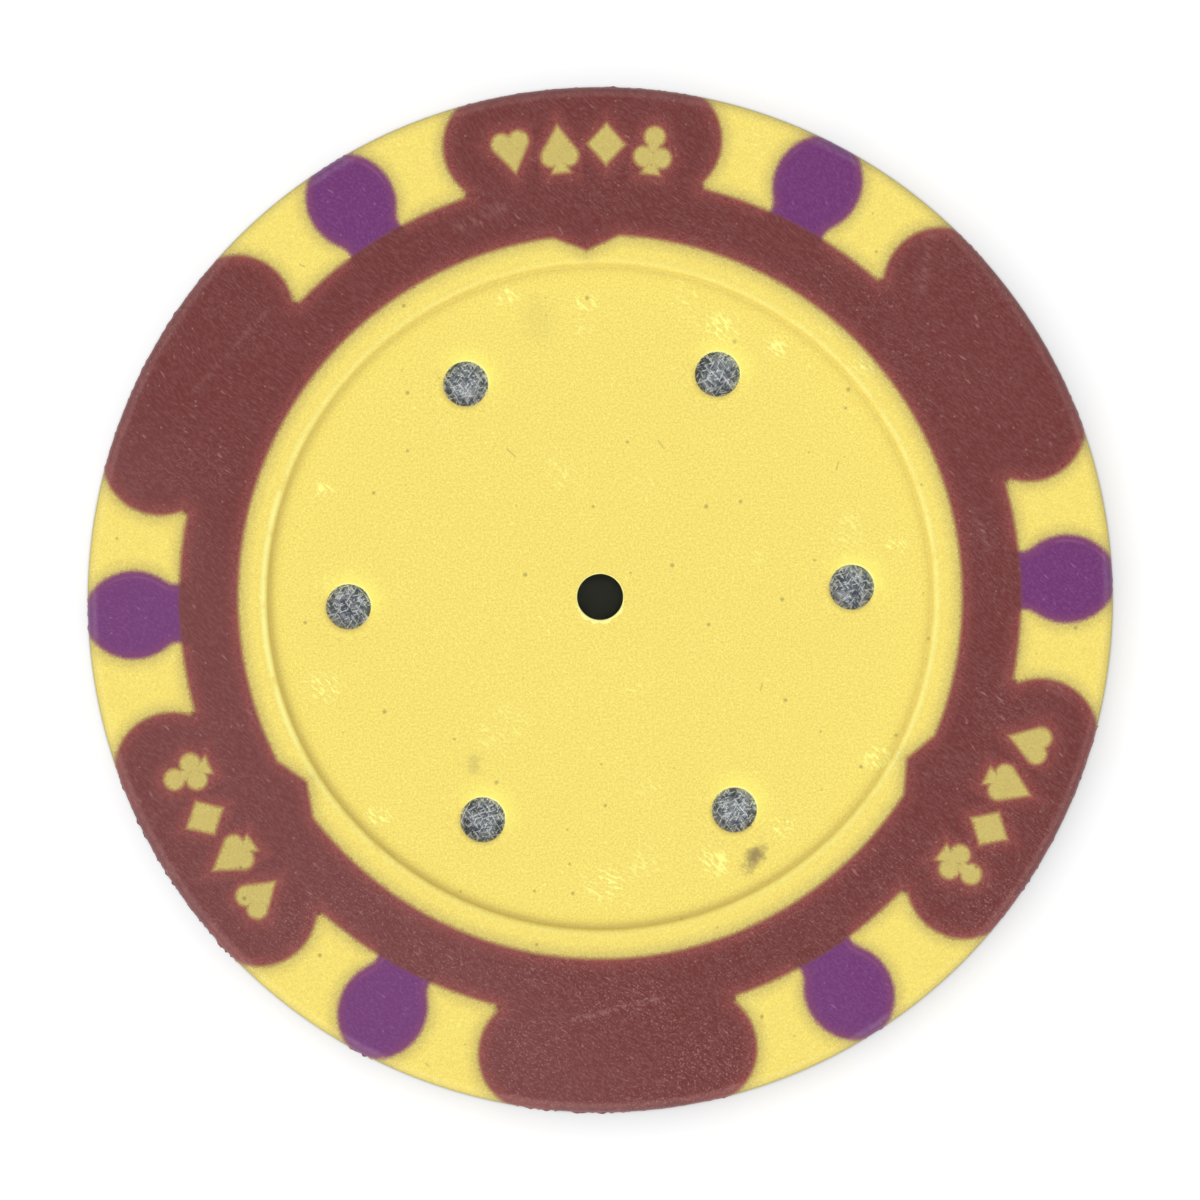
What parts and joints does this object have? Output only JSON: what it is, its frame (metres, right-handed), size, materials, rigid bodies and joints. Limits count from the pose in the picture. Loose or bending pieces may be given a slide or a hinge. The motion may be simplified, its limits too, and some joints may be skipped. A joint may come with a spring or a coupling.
{
  "type": "poker chip",
  "caption": "Round moulded gaming chip in three colours over a steel weight, with a label recess in each face and coloured inserts that wrap over the rim.",
  "frame": {"origin": "centre of the lower face, on the chip's axis", "axes": "+Z along the chip's axis, out of the upper face; +Y towards one of the lobes with a row of suits; +X towards purple spot 1"},
  "size_m": [0.04, 0.04, 0.0034],
  "materials": {
    "steel": "bare, scratched where the support pins pressed on it",
    "yellow_plastic": "fine moulded grain, satin",
    "brown_plastic": "fine moulded grain with light hairlines",
    "purple_plastic": "fine moulded grain, satin"
  },
  "bodies": {
    "root": {"steel_slug": "steel", "yellow_body": "yellow_plastic", "brown_cover": "brown_plastic", "purple_spot_1": "purple_plastic", "purple_spot_2": "purple_plastic", "purple_spot_3": "purple_plastic", "purple_spot_4": "purple_plastic", "purple_spot_5": "purple_plastic", "purple_spot_6": "purple_plastic"}
  },
  "joints": []
}
